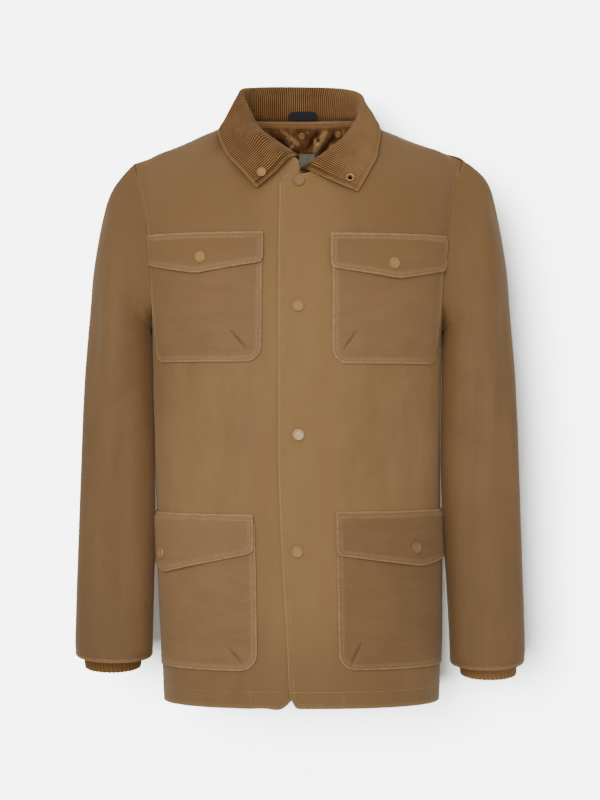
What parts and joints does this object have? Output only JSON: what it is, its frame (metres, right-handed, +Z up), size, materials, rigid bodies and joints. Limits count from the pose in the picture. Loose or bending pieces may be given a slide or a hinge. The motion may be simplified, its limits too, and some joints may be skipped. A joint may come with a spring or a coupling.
{
  "type": "waxed coat",
  "caption": "Waxed cotton field coat in its worn, hollow shape, with a folded corduroy collar, a snap front, patch pockets with pointed flaps, and rib cuffs inside the sleeves.",
  "frame": {"origin": "centre of the neck, level with the neck ends of the shoulder seams, where the wearer's shoulders hold the coat up", "axes": "+Z up, +X to the wearer's left, -Y is the front of the coat"},
  "size_m": [0.58, 0.2714, 0.8025],
  "materials": {
    "waxed_cloth": "matt waxed cotton, tan brown",
    "corduroy": "wide-wale corduroy, brown",
    "rib_knit": "ribbed knit, brown",
    "satin_lining": "satin, copper brown",
    "label_cloth": "woven, off-white, bare",
    "tape": "dark navy tape",
    "snap_enamel": "tan enamel cap",
    "snap_metal": "satin brass"
  },
  "bodies": {
    "root": {"front_right": "waxed_cloth", "front_left": "waxed_cloth", "back": "waxed_cloth", "sleeve_right": "waxed_cloth", "sleeve_left": "waxed_cloth", "pocket_upper_right": "waxed_cloth", "pocket_upper_left": "waxed_cloth", "pocket_lower_right": "waxed_cloth", "pocket_lower_left": "waxed_cloth", "flap_upper_right": "waxed_cloth", "flap_upper_left": "waxed_cloth", "flap_lower_right": "waxed_cloth", "flap_lower_left": "waxed_cloth", "collar": "corduroy", "cuff_right": "rib_knit", "cuff_left": "rib_knit", "lining": "satin_lining", "label": "label_cloth", "locker_loop": "tape", "snap_front_1": "snap_enamel", "snap_front_2": "snap_enamel", "snap_front_3": "snap_enamel", "snap_front_4": "snap_enamel", "snap_upper_right": "snap_enamel", "snap_upper_left": "snap_enamel", "snap_lower_right": "snap_enamel", "snap_lower_left": "snap_enamel", "snap_collar": "snap_enamel", "snap_lining_middle": "snap_enamel", "snap_lining_left": "snap_enamel", "eyelet_collar": "snap_metal"}
  },
  "joints": []
}
